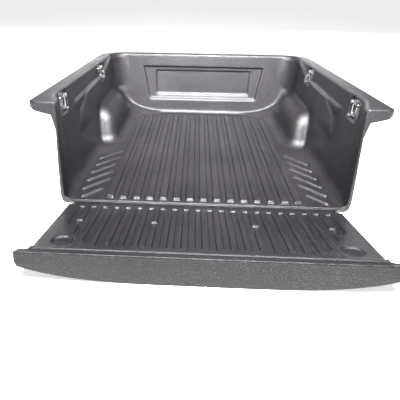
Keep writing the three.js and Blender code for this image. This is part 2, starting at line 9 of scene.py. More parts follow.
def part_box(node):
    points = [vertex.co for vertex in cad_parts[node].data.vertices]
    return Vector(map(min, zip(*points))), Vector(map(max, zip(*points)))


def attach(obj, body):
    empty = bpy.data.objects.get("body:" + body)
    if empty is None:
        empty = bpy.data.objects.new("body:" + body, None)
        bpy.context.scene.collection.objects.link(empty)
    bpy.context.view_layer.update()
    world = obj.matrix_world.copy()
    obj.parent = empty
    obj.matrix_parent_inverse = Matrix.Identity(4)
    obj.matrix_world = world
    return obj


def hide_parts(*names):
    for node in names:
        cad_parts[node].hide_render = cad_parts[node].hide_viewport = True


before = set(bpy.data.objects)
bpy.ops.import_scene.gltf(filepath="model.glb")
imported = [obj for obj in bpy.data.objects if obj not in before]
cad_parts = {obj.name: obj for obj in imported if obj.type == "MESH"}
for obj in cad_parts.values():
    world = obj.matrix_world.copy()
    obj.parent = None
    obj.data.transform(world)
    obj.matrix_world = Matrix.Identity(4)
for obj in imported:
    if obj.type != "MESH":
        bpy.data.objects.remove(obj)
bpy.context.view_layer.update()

# The two moulded sheets are the surfaces where a field is 0. A field is positive in the open air on
# the sheet's upper side and negative in the mould under it, and near the surface its size is close to
# the distance from it. Lengths are metres. In the tub's fields x is the distance from the centre
# plane, y runs forward from REAR, a little ahead of the rear lip, and z is the height above the ground.

MM = 0.001
SHEET = 5 * MM

TUB_LO, TUB_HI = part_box("tub_liner")
LIP_BACK = 28 * MM
REAR = TUB_LO.y + LIP_BACK

RAIL_OUTER = TUB_HI.x
RAIL_FRONT = TUB_HI.y - REAR
RAIL_WIDTH = 78 * MM
RAIL_FLANGE = 34 * MM
RAIL_SLOPE = 30 / 1605
RAIL_ROUND = 15 * MM
RAIL_CORNER = 42 * MM
RAIL_SIDE_ROUND = 218 * MM
WALL_LEAN = 32 * MM
WALL_FOOT = RAIL_OUTER - RAIL_WIDTH - WALL_LEAN
BULKHEAD = RAIL_FRONT - RAIL_WIDTH
FLOOR = SHEET
FOOT_RADIUS = 55 * MM
PILLAR_INSET = 58 * MM
PILLAR_REACH = 200 * MM
WALL_SET_IN = 23 * MM
BEAD = {"height": 22 * MM, "groove": 4 * MM, "middle": -12 * MM, "half_width": 5 * MM}

# The sheet's outer edge at the rear end: the distance from the centre plane at each height.
END_HEIGHTS = (0.0, 0.016, 0.05, 0.395, 0.468, 0.488, 0.500)
END_WIDTHS = (0.712, 0.732, 0.738, 0.714, 0.728, 0.806, 0.840)

# The fold on a side wall: where it lies along the tub at each height.
FOLD_HEIGHTS = (0.12, 0.24, 0.30, 0.353, 0.40, 0.43)
FOLD_PLACES = (0.50, 0.42, 0.45, 0.50, 0.62, 0.70)
LEDGE = {"low": 405 * MM, "rise": 62 * MM, "thick": 23 * MM}
PANEL_DEPTH, LEDGE_LIP = 16 * MM, 9 * MM

RIB = {"count": 15, "pitch": 71 * MM, "height": 14 * MM, "base": 22 * MM, "top": 17 * MM}
RIB_REAR, RIB_FRONT = 45 * MM, 1515 * MM
SIDE_RIB = {"count": 6, "x": 606 * MM, "y": 108 * MM, "pitch": 104 * MM, "turn": math.radians(42)}
SIDE_RIB_HEIGHT, SIDE_RIB_INNER = 11 * MM, 535 * MM
SIDE_RIB_HALF, SIDE_RIB_FIRST_HALF = 102 * MM, 76 * MM

ARCH_INNER = 606 * MM
ARCH_REAR = 850 * MM
ARCH_TOP = 247 * MM
ARCH_DRAFT, ARCH_REAR_SLOPE = 0.10, 0.25
ARCH_TOP_ROUND, ARCH_REAR_ROUND, ARCH_FILLET = 105 * MM, 80 * MM, 26 * MM
BOWL = {"x": 451 * MM, "z": 275 * MM, "radius": 252 * MM, "start": 1.32, "end": 1.57}
BOWL_FOOT = 120 * MM

POCKET = {"half_width": 62 * MM, "half_height": 54 * MM, "face": WALL_FOOT + 44 * MM}

HINGE_Y, HINGE_Z = REAR - 38 * MM, 12 * MM
GATE_TILT = math.radians(9.245)
GATE_TOP = SHEET / 2
GATE_FAR, GATE_NEAR, GATE_RIDGE = -2 * MM, 542 * MM, 487 * MM
GATE_HALF, WING_START = 692 * MM, 503 * MM
WING_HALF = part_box("tailgate_liner")[1].x
RIDGE_HEIGHT, RIDGE_DIP = 12 * MM, 5 * MM
SKIRT_DROP, SKIRT_END_DROP, SKIRT_POWER = 101 * MM, 42 * MM, 3.8
SKIRT_DRAFT = math.tan(math.radians(5))
GROOVE = {"count": 22, "pitch": 58.2 * MM, "depth": 9 * MM, "base": 16 * MM, "top": 12 * MM}
GROOVE_START, GROOVE_END = 17 * MM, 441 * MM
GROOVE_CHAMFER = {"s": 208 * MM, "x": 640 * MM, "slope": 0.68}
CUP = {"x": 588 * MM, "along": 409 * MM, "radius": 44 * MM, "depth": 9 * MM}
SCREW_PITCHES = (4, 10)
SCREW_POCKET = {"along": 218 * MM, "half": 31 * MM, "half_width": 24 * MM}


def plate_middle(place):
    """Where a tie-down plate's middle is along the tub and above the ground."""
    lo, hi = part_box(f"left_{place}_tie_down_plate")
    return (lo.y + hi.y) / 2 - REAR, (lo.z + hi.z) / 2


POCKET_MIDDLES = [plate_middle(place) for place in ("rear", "front")]


# ---- fields ------------------------------------------------------------------------------------


def smooth(t):
    """0 below 0, 1 above 1, and an S-curve between."""
    t = np.clip(t, 0, 1)
    return t * t * (3 - 2 * t)


def ramp(value, start, end):
    return smooth((value - start) / (end - start))


def join(a, b, radius):
    """Two solids as one, with a fillet of that radius in the corner between them."""
    corner = np.hypot(np.maximum(radius - a, 0), np.maximum(radius - b, 0))
    return np.maximum(radius, np.minimum(a, b)) - corner


def meet(a, b, radius):
    """What two solids share, with its edge rounded to that radius."""
    corner = np.hypot(np.maximum(radius + a, 0), np.maximum(radius + b, 0))
    return np.minimum(-radius, np.maximum(a, b)) + corner


def bar(across, along, base, top, start, end, slope):
    """Height, from 0 to 1, of a rib with sloping sides and ends."""
    sides = smooth((base - np.abs(across)) / (base - top))
    ends = smooth(np.minimum(along - start, end - along) / slope)
    return sides * ends


# ---- tub ---------------------------------------------------------------------------------------


def rail_top(y):
    return TUB_HI.z - RAIL_SLOPE * np.maximum(y, 0)


def side_panel(y, z):
    """How far a side wall stands inboard of its plane: a deep panel under a ledge, ahead of a fold."""
    fold = np.interp(z, FOLD_HEIGHTS, FOLD_PLACES)
    ahead = ramp(y, fold, fold + 60 * MM) * (1 - ramp(y, 1.37, 1.46))
    ledge_end = ramp(y, 0.40, 0.47)
    ledge = LEDGE["low"] + LEDGE["rise"] * ramp(y, 1.08, 1.42)
    under = 1 - ramp(z, ledge, ledge + LEDGE["thick"])
    above_arch = ramp(z, 0.20, 0.30)
    band = ramp(z, 0.31 + 0.12 * (0.75 - np.clip(y, 0.4, 0.75)), 0.40)
    deep = PANEL_DEPTH * under * ahead * above_arch
    lip = LEDGE_LIP * under * band * ledge_end * (1 - ahead)
    return deep + lip


def pillar_inset(y):
    """How far a rear pillar stands inboard of the side wall."""
    return PILLAR_INSET * (1 - ramp(y, 0, PILLAR_REACH))


def wall_x(y, z):
    """The cargo face of a side wall."""
    height = (z - FLOOR - FOOT_RADIUS) / (TUB_HI.z - FLOOR - FOOT_RADIUS)
    inset = pillar_inset(y) * (0.1 + 0.9 * np.clip(height, 0, 1))
    return WALL_FOOT + WALL_LEAN * height - inset - side_panel(y, z)


def recess(x, z):
    """Depth of the bulkhead's two stepped recesses."""
    outer = {"bottom": 140 * MM, "top": 396 * MM, "half": 450 * MM + 0.156 * (z - 0.14)}
    inner = {"bottom": 176 * MM, "top": 364 * MM, "half": 388 * MM}
    depth = 0
    for step, amount in ((outer, 16 * MM), (inner, 14 * MM)):
        floor = ramp(z, step["bottom"] - 18 * MM, step["bottom"] + 6 * MM)
        roof = 1 - ramp(z, step["top"] - 3 * MM, step["top"] + 5 * MM)
        sides = 1 - ramp(x, step["half"] - 5 * MM, step["half"] + 7 * MM)
        depth = depth + amount * floor * roof * sides
    return depth


def floor_height(x, y):
    """Top of the floor with its ribs and the raised bead along its rear edge."""
    pitch = RIB["pitch"]
    across = (x / pitch + 0.5) % 1 * pitch - pitch / 2
    inside = x < (RIB["count"] / 2) * pitch
    near_end = RIB_REAR + 0.25 * np.maximum(x - 6.6 * pitch, 0)
    long = bar(across, y, RIB["base"], RIB["top"], near_end, RIB_FRONT, 13 * MM)
    height = FLOOR + RIB["height"] * long * inside
    turn = SIDE_RIB["turn"]
    for i in range(SIDE_RIB["count"]):
        dx, dy = x - SIDE_RIB["x"], y - SIDE_RIB["y"] - i * SIDE_RIB["pitch"]
        across = dx * math.cos(turn) + dy * math.sin(turn)
        along = dy * math.cos(turn) - dx * math.sin(turn)
        half = SIDE_RIB_FIRST_HALF if i == 0 else SIDE_RIB_HALF
        slant = bar(across, along, 15 * MM, 6 * MM, -half, half, 16 * MM)
        height = height + SIDE_RIB_HEIGHT * slant * (x > SIDE_RIB_INNER)
    bead = ramp(y, -LIP_BACK - 4 * MM, -LIP_BACK + 5 * MM) * (1 - ramp(y, 2 * MM, 15 * MM))
    groove = 1 - ramp(np.abs(y - BEAD["middle"]), 0, BEAD["half_width"])
    return height + BEAD["height"] * bead - BEAD["groove"] * groove


def arch_field(x, y, z):
    """A wheel arch's outside, with a little draft. At the bulkhead it opens into a round bowl."""
    inner = ARCH_INNER + ARCH_DRAFT * z
    bowl = BOWL["x"] + np.sqrt(np.maximum(BOWL["radius"] ** 2 - (BOWL["z"] - z) ** 2, 0))
    opening = ramp(y, BOWL["start"], BOWL["end"]) * np.maximum(bowl - inner, 0)
    foot = ramp(y, BOWL["end"] - BOWL_FOOT, BULKHEAD) * np.maximum(inner - bowl, 0)
    rear = ARCH_REAR + ARCH_REAR_SLOPE * z - y
    top = z - ARCH_TOP
    return meet(meet(inner + opening - foot - x, top, ARCH_TOP_ROUND), rear, ARCH_REAR_ROUND)


def pocket_field(x, y, z, middle_y, middle_z):
    """A tie-down pocket, negative inside."""
    sides = np.abs(y - middle_y) - POCKET["half_width"]
    ends = np.abs(z - middle_z) - POCKET["half_height"]
    return meet(meet(sides, ends, 14 * MM), x - POCKET["face"], 6 * MM)


def rear_face(x):
    """The tub's rear end in plan, set in a little beside the lip and rounded at the rail's corner."""
    corner = np.clip((x - RAIL_OUTER) / RAIL_CORNER + 1, 0, 1)
    return -LIP_BACK + WALL_SET_IN * ramp(x, 0.655, 0.70) + 0.8 * RAIL_CORNER * corner**2


def outer_edge(x, y):
    """The rail's outer face in plan, with its wide corners."""
    return meet(x - RAIL_OUTER, y - RAIL_FRONT, RAIL_SIDE_ROUND)


def tub_field(x, y, z):
    x = np.abs(x)
    wall = wall_x(y, z) - x
    bulkhead = BULKHEAD + recess(x, z) - y
    side = join(wall, arch_field(x, y, z), ARCH_FILLET)
    foot = FOOT_RADIUS * (0.4 + 0.6 * ramp(y, 0, 0.12)) + 60 * MM * ramp(y, 1.36, 1.58)
    field = join(side, z - floor_height(x, y), foot)
    corner = (38 + 90 * ramp(z, 0.12, 0.34)) * MM
    field = join(field, bulkhead, corner)
    for middle_y, middle_z in POCKET_MIDDLES:
        field = meet(field, -pocket_field(x, y, z, middle_y, middle_z), 4 * MM)
    field = meet(field, z - rail_top(y), RAIL_ROUND)
    field = meet(field, outer_edge(x, y), RAIL_ROUND)
    return meet(field, rear_face(x) - y, 7 * MM)


def tub_keep(x, y, z):
    """Positive where the sheet is, and negative where the mould's outside isn't part of it."""
    x = np.abs(x)
    outline = np.interp(z, END_HEIGHTS, END_WIDTHS)
    on_rear = np.where(x < 0.66, z, np.minimum(outline - x, z))
    rear = np.maximum(y - 8 * MM, on_rear)
    outside = np.maximum(-20 * MM - outer_edge(x, y), z - rail_top(y) + RAIL_FLANGE)
    return np.minimum(rear, outside)


# ---- tailgate ----------------------------------------------------------------------------------
# x is the distance from the centre plane, s the distance from the hinge line and z the height above
# the middle of the sheet, before the panel is tilted.


def gate_height(x, s):
    """Top of the panel: its grooves, screw pockets, cups, ridge and the dip beyond the ridge."""
    pitch = GROOVE["pitch"]
    across = x % pitch - pitch / 2
    chamfer = GROOVE_CHAMFER["s"] + np.maximum(GROOVE_CHAMFER["x"] - x, 0) / GROOVE_CHAMFER["slope"]
    end = np.minimum(GROOVE_END, chamfer)
    inside = x < (GROOVE["count"] / 2) * pitch
    sunk = bar(across, s, GROOVE["base"], GROOVE["top"], GROOVE_START, end, 6 * MM) * inside
    for k in SCREW_PITCHES:
        first, last = (SCREW_POCKET["along"] + side * SCREW_POCKET["half"] for side in (-1, 1))
        half = SCREW_POCKET["half_width"]
        sunk = np.maximum(sunk, bar(x - k * pitch, s, half, half - 4 * MM, first, last, 6 * MM))
    height = GATE_TOP - GROOVE["depth"] * sunk
    cup = np.hypot(x - CUP["x"], s - CUP["along"])
    height = height - CUP["depth"] * (1 - ramp(cup, CUP["radius"] - 3 * MM, CUP["radius"] + 4 * MM))
    ridge = ramp(s, GATE_RIDGE - 13 * MM, GATE_RIDGE + 2 * MM)
    dip = ramp(s, GATE_RIDGE + 9 * MM, GATE_RIDGE + 18 * MM)
    dip = dip * (1 - ramp(s, GATE_NEAR - 18 * MM, GATE_NEAR - 6 * MM))
    return height + RIDGE_HEIGHT * ridge - RIDGE_DIP * dip


def gate_side(s):
    return GATE_HALF + (WING_HALF - GATE_HALF) * ramp(s, WING_START - 4 * MM, WING_START + 8 * MM)


def gate_field(x, s, z):
    x = np.abs(x)
    top = z - gate_height(x, s)
    near = s - GATE_NEAR - np.maximum(GATE_TOP - z, 0) * SKIRT_DRAFT
    field = meet(top, near, 7 * MM)
    return meet(field, x - gate_side(s), 6 * MM)


def gate_keep(x, s, z):
    x = np.abs(x)
    edge = -SKIRT_DROP + (SKIRT_DROP - SKIRT_END_DROP) * (x / WING_HALF) ** SKIRT_POWER
    skirt = z - edge
    side = np.maximum(gate_side(s) - 7 * MM - x, z + np.where(s > WING_START + 4 * MM, 30 * MM, 6 * MM))
    return np.minimum(np.minimum(skirt, side), s - GATE_FAR)


# ---- meshing -----------------------------------------------------------------------------------


def lines(*spans):
    """Grid lines through (start, end, step) spans that follow one another."""
    parts = [np.arange(a, b - step * 0.5, step) for a, b, step in spans]
    return np.concatenate(parts + [[spans[-1][1]]])


def rib_lines(form, first, last, centred):
    """Grid lines across half the ribs, close together at each rib's edges."""
    base, top, pitch = form["base"], form["top"], form["pitch"]
    offsets = (-base - 3 * MM, -(base + top) / 2 - 1.5 * MM, -top + 1.5 * MM, -top / 3)
    offsets = offsets + tuple(-o for o in reversed(offsets))
    shift = 0 if centred else pitch / 2
    marks = [k * pitch + shift + o for k in range(first, last) for o in offsets]
    return np.array([m for m in marks if m > -form["top"] / 2])


CELL_CORNERS = [(a, b, c) for a in (0, 1) for b in (0, 1) for c in (0, 1)]


def surface_cells(field, xs, ys, zs):
    """Points, one in each grid cell that the surface crosses, and quads that join them."""
    values = field(xs[:, None, None], ys[None, :, None], zs[None, None, :])
    values = np.ascontiguousarray(np.broadcast_to(values, (len(xs), len(ys), len(zs))))
    inside = values < 0
    cells = tuple(n - 1 for n in inside.shape)
    count = np.zeros(cells, np.int8)
    for a, b, c in CELL_CORNERS:
        count += inside[a : a + cells[0], b : b + cells[1], c : c + cells[2]]
    active = (count > 0) & (count < 8)
    number = np.full(cells, -1, np.int64)
    number[active] = np.arange(active.sum())
    cell = np.argwhere(active)
    axes = (xs, ys, zs)
    total, hits = np.zeros((len(cell), 3)), np.zeros(len(cell))
    for axis in range(3):
        for u in (0, 1):
            for v in (0, 1):
                low = [0, 0, 0]
                low[(axis + 1) % 3], low[(axis + 2) % 3] = u, v
                high = list(low)
                high[axis] = 1
                p, q = cell + low, cell + high
                fp, fq = values[tuple(p.T)], values[tuple(q.T)]
                cross = (fp < 0) != (fq < 0)
                t = np.where(cross, fp / np.where(cross, fp - fq, 1), 0)
                a = np.stack([axes[k][p[:, k]] for k in range(3)], 1)
                b = np.stack([axes[k][q[:, k]] for k in range(3)], 1)
                total += np.where(cross[:, None], a + (b - a) * t[:, None], 0)
                hits += cross
    points = total / hits[:, None]
    quads = []
    for axis in range(3):
        u, v = (axis + 1) % 3, (axis + 2) % 3
        span = [slice(1, n - 1) for n in inside.shape]
        span[axis] = slice(0, inside.shape[axis] - 1)
        ahead = list(span)
        ahead[axis] = slice(1, inside.shape[axis])
        here, there = inside[tuple(span)], inside[tuple(ahead)]
        at = np.argwhere(here != there)
        entering = there[tuple(at.T)]
        for k in (u, v):
            at[:, k] += 1
        step_u, step_v = np.eye(3, dtype=int)[u], np.eye(3, dtype=int)[v]
        ring = [at - step_u - step_v, at - step_v, at, at - step_u]
        quad = np.stack([number[tuple(r.T)] for r in ring], 1)
        quads.append(np.where(entering[:, None], quad[:, ::-1], quad))
    quads = np.concatenate(quads)
    return points, quads[(quads >= 0).all(1)]


def slope(field, points):
    """The field's gradient at each point."""
    h = 0.2 * MM
    parts = []
    for k in range(3):
        ahead, behind = points.copy(), points.copy()
        ahead[:, k] += h
        behind[:, k] -= h
        parts.append((field(*ahead.T) - field(*behind.T)) / (2 * h))
    return np.stack(parts, 1)


def settle(field, points, rounds, reach=6 * MM):
    """Moves each point along the gradient to the field's surface."""
    for _ in range(rounds):
        g = slope(field, points)
        step = (field(*points.T) / np.maximum((g * g).sum(1), 0.05))[:, None] * g
        length = np.linalg.norm(step, axis=1, keepdims=True)
        points = points - step * np.minimum(1, reach / np.maximum(length, 1e-9))
    return points


def boundary_edges(quads):
    edges = np.concatenate([quads[:, [k, (k + 1) % 4]] for k in range(4)])
    key = np.sort(edges, 1)
    _, first, count = np.unique(key, axis=0, return_index=True, return_counts=True)
    return edges[first[count == 1]]


def trim(field, keep, points, quads):
    """Drops the quads outside the sheet and moves the new boundary to where keep is 0."""
    good = keep(*points.T) > 0
    quads = quads[good[quads].sum(1) >= 3]
    used = np.unique(quads)
    renumber = np.full(len(points), -1)
    renumber[used] = np.arange(len(used))
    points, quads = points[used], renumber[quads]
    rim = np.unique(boundary_edges(quads))
    rim = rim[np.abs(points[rim, 0]) > 1e-6]
    edge = points[rim]
    for _ in range(8):
        g, n = slope(keep, edge), slope(field, edge)
        n /= np.maximum(np.linalg.norm(n, axis=1, keepdims=True), 1e-9)
        g -= (g * n).sum(1, keepdims=True) * n
        move = (keep(*edge.T) / np.maximum((g * g).sum(1), 0.05))[:, None] * g
        length = np.linalg.norm(move, axis=1, keepdims=True)
        edge = edge - move * np.minimum(1, 5 * MM / np.maximum(length, 1e-9))
        edge = settle(field, edge, 1)
    points[rim] = edge
    return points, quads


def mirror(points, quads):
    """Adds the other half, joined along the centre plane."""
    seam = np.abs(points[:, 0]) < 1e-6
    other = np.where(seam, np.arange(len(points)), 0)
    other[~seam] = len(points) + np.arange((~seam).sum())
    flipped = points[~seam] * (-1, 1, 1)
    return np.concatenate([points, flipped]), np.concatenate([quads, other[quads][:, ::-1]])


def thicken(field, points, quads):
    """A closed sheet: the upper face, a lower face SHEET behind it and a rim that joins them."""
    n = slope(field, points)
    n /= np.maximum(np.linalg.norm(n, axis=1, keepdims=True), 1e-9)
    count = len(points)
    rim = boundary_edges(quads)
    sides = np.stack([rim[:, 1], rim[:, 0], rim[:, 0] + count, rim[:, 1] + count], 1)
    solid = np.concatenate([points, points - SHEET * n])
    return solid, np.concatenate([quads, quads[:, ::-1] + count, sides])


def mesh_from(name, points, quads):
    mesh = bpy.data.meshes.new(name)
    mesh.vertices.add(len(points))
    mesh.vertices.foreach_set("co", points.astype(np.float32).ravel())
    mesh.loops.add(quads.size)
    mesh.loops.foreach_set("vertex_index", quads.astype(np.int32).ravel())
    mesh.polygons.add(len(quads))
    mesh.polygons.foreach_set("loop_start", np.arange(0, quads.size, 4, dtype=np.int32))
    mesh.update(calc_edges=True)
    mesh.validate()
    return mesh


def moulded_sheet(name, field, keep, xs, ys, zs, place):
    """A moulded sheet, symmetric about the centre plane. place moves its points to the shared frame."""
    points, quads = surface_cells(field, xs, ys, zs)
    seam = np.abs(points[:, 0]) < (xs[1] - xs[0]) / 2
    points = settle(field, points, 4)
    points[seam, 0] = 0
    outside = points[quads][:, :, 0].min(1) < -1e-6
    points, quads = trim(field, keep, points, quads[~outside])
    points, quads = mirror(points, quads)
    points, quads = thicken(field, points, quads)
    mesh = mesh_from(name, place(points), quads)
    mesh.polygons.foreach_set("use_smooth", np.ones(len(quads), bool))
    mesh.set_sharp_from_angle(angle=math.radians(60))
    obj = bpy.data.objects.new(name, mesh)
    bpy.context.scene.collection.objects.link(obj)
    return obj


def place_tub(points):
    return points + (0, REAR, 0)


def place_gate(points):
    x, s, z = points.T
    cos, sin = math.cos(GATE_TILT), math.sin(GATE_TILT)
    return np.stack([x, HINGE_Y - s * cos + z * sin, HINGE_Z + s * sin + z * cos], 1)


def make_tub():
    beside_ribs = lines((0.534, 0.70, 7.2 * MM), (0.70, 0.852, 8 * MM))
    xs = np.concatenate([rib_lines(RIB, 0, 8, True), beside_ribs])
    ys = lines(
        (-0.030, 0.024, 3.2 * MM),
        (0.024, 0.064, 5 * MM),
        (0.064, 0.80, 8.6 * MM),
        (0.80, 0.96, 8 * MM),
        (0.96, 1.49, 10 * MM),
        (1.49, 1.704, 8 * MM),
    )
    zs = lines((-0.012, 0.030, 4.2 * MM), (0.030, 0.40, 10 * MM), (0.40, 0.545, 7.2 * MM))
    return moulded_sheet("tub_sheet", tub_field, tub_keep, xs, ys, zs, place_tub)


def make_gate():
    centre_cell = np.array([-0.0065, 0.0065])
    across = rib_lines(GROOVE, 0, 11, False)
    across = across[across > 0.0066]
    xs = np.concatenate([centre_cell, across, lines((0.640, 0.752, 6 * MM))])
    ys = lines((-0.014, 0.034, 4 * MM), (0.034, 0.43, 8 * MM), (0.43, 0.580, 4.5 * MM))
    zs = lines((-0.120, -0.018, 9 * MM), (-0.018, 0.024, 3 * MM))
    return moulded_sheet("tailgate_sheet", gate_field, gate_keep, xs, ys, zs, place_gate)


# ---- hardware ----------------------------------------------------------------------------------


def new_object(name, bm):
    for face in bm.faces:
        face.smooth = True
    bmesh.ops.recalc_face_normals(bm, faces=bm.faces)
    mesh = bpy.data.meshes.new(name)
    bm.to_mesh(mesh)
    bm.free()
    mesh.set_sharp_from_angle(angle=math.radians(38))
    obj = bpy.data.objects.new(name, mesh)
    bpy.context.scene.collection.objects.link(obj)
    return obj


def add_ring(bm, middle, radius, u, v, sides, start):
    """Vertices on a circle around middle in the plane of u and v, the first at the angle start."""
    turn = [start + 2 * math.pi * k / sides for k in range(sides)]
    return [bm.verts.new(middle + radius * (math.cos(a) * u + math.sin(a) * v)) for a in turn]


def add_skin(bm, rings):
    """A closed surface through rings of vertices, flat at both ends. Returns its two end faces."""
    count = len(rings[0])
    for a, b in zip(rings, rings[1:]):
        for k in range(count):
            n = (k + 1) % count
            bm.faces.new((a[k], a[n], b[n], b[k]))
    return [bm.faces.new(rings[0]), bm.faces.new(list(reversed(rings[-1])))]


def add_tube(bm, path, radius, sides=14):
    """A round rod along a path of points, closed at both ends."""
    points = [Vector(p) for p in path]
    rings = []
    for i, p in enumerate(points):
        ahead = points[min(i + 1, len(points) - 1)] - points[max(i - 1, 0)]
        ahead.normalize()
        side = Vector((1, 0, 0)) if abs(ahead.x) < 0.9 else Vector((0, 1, 0))
        u = ahead.cross(side).normalized()
        rings.append(add_ring(bm, p, radius, u, ahead.cross(u), sides, 0))
    add_skin(bm, rings)


def add_lathe(bm, profile, base, axis, sides):
    """A turned solid: profile holds (distance along the axis, radius) pairs, with both ends closed."""
    along = Vector(axis)
    u = Vector((0, 0, 1)) if abs(along.z) < 0.9 else Vector((0, 1, 0))
    v = along.cross(u)
    rings = []
    for reach, radius in profile:
        middle = Vector(base) + reach * along
        rings.append(add_ring(bm, middle, radius, u, v, sides, math.pi / sides))
    add_skin(bm, rings)


def add_slab(bm, outline, x0, x1, bevel):
    """A flat plate between two X planes with bevelled edges. outline holds (y, z) points."""
    ends = add_skin(bm, [[bm.verts.new((x, y, z)) for y, z in outline] for x in (x0, x1)])
    rims = [edge for end in ends for edge in end.edges]
    bmesh.ops.bevel(bm, geom=rims, offset=bevel, segments=2, affect="EDGES", profile=0.5)


def rounded_outline(y0, y1, z0, z1, radius, steps=5):
    corners = [(y1, z1, 0), (y0, z1, 90), (y0, z0, 180), (y1, z0, 270)]
    points = []
    for y, z, start in corners:
        cy = y - math.copysign(radius, y - (y0 + y1) / 2)
        cz = z - math.copysign(radius, z - (z0 + z1) / 2)
        for k in range(steps + 1):
            a = math.radians(start + 90 * k / steps)
            points.append((cy + radius * math.cos(a), cz + radius * math.sin(a)))
    return points


def make_plate(node, side):
    """The chrome plate, with rounded corners and the two lugs that hold the pin."""
    lo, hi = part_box(node)
    thick = 3 * MM
    back = hi.x if side > 0 else lo.x
    face = back - side * thick
    tip = lo.x if side > 0 else hi.x
    middle = (lo.y + hi.y) / 2
    bm = bmesh.new()
    x0, x1 = sorted((back, face))
    add_slab(bm, rounded_outline(lo.y, hi.y, lo.z, hi.z, 12 * MM), x0, x1, 0.8 * MM)
    lug, inner = 4 * MM, 34 * MM
    pin_z = hi.z - 22 * MM
    x0, x1 = sorted((face, tip))
    # The left side's lugs are 1 mm longer than the right side's.
    profile = rounded_outline(x0, x1 + 1 * MM * (side < 0), pin_z - 10 * MM, pin_z + 10 * MM, 5 * MM)
    for end in (-1, 1):
        planes = (middle + end * inner, middle + end * (inner + lug))
        add_skin(bm, [[bm.verts.new((x, y, z)) for x, z in profile] for y in planes])
    return new_object(node + "_pressed", bm)


def make_ring(node):
    """The D-ring: a bent rod under a sleeve that turns on the pin."""
    lo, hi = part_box(node)
    x, y = (lo.x + hi.x) / 2, (lo.y + hi.y) / 2
    rod, sleeve = 4.5 * MM, 7 * MM
    pin_z = hi.z - sleeve
    half, bottom, bend = 25 * MM, lo.z + rod, 16 * MM
    path = [(x, y - half, pin_z - 3 * MM)]
    for end, turn in ((-1, range(0, 7)), (1, range(6, -1, -1))):
        for k in turn:
            a = math.radians(15 * k)
            cy, cz = y + end * (half - bend), bottom + bend
            path.append((x, cy + end * bend * math.cos(a), cz - bend * math.sin(a)))
    path.append((x, y + half, pin_z - 3 * MM))
    bm = bmesh.new()
    add_tube(bm, path, rod)
    length = hi.y - lo.y
    ends = [(0, sleeve - 1 * MM), (1 * MM, sleeve), (length - 1 * MM, sleeve), (length, sleeve - 1 * MM)]
    add_lathe(bm, ends, (x, lo.y, pin_z), (0, 1, 0), 24)
    return new_object(node + "_bent", bm)


def make_pin(node):
    lo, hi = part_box(node)
    x, z, length = (lo.x + hi.x) / 2, (lo.z + hi.z) / 2, hi.y - lo.y
    head, rod, dome = 6 * MM, 4 * MM, 3 * MM
    profile = [
        (0, 3.5 * MM),
        (0.8 * MM, 5.2 * MM),
        (1.8 * MM, head),
        (dome, head),
        (dome, rod),
        (length - dome, rod),
        (length - dome, head),
        (length - 1.8 * MM, head),
        (length - 0.8 * MM, 5.2 * MM),
        (length, 3.5 * MM),
    ]
    bm = bmesh.new()
    add_lathe(bm, profile, (x, lo.y, z), (0, 1, 0), 24)
    return new_object(node + "_turned", bm)


def make_bolt(node, side):
    """A hexagon bolt with a chamfered head, a washer face and a shank behind the wall."""
    lo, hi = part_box(node)
    y, z = (lo.y + hi.y) / 2, (lo.z + hi.z) / 2
    tip = lo.x if side > 0 else hi.x
    length = hi.x - lo.x
    radius, head = 7.5 * MM, 5.5 * MM
    bm = bmesh.new()
    axis = (side, 0, 0)
    crown = [(0, radius - 1.6 * MM), (0.9 * MM, radius - 0.3 * MM), (head - 0.8 * MM, radius - 0.3 * MM)]
    add_lathe(bm, crown + [(head - 0.8 * MM, 2 * MM)], (tip, y, z), axis, 6)
    face = [(head - 0.9 * MM, 6.2 * MM), (head, 6.4 * MM), (head, 4 * MM), (length - 1 * MM, 4 * MM)]
    add_lathe(bm, face + [(length, 3.2 * MM)], (tip, y, z), axis, 20)
    return new_object(node + "_hex", bm)


# ---- materials ---------------------------------------------------------------------------------


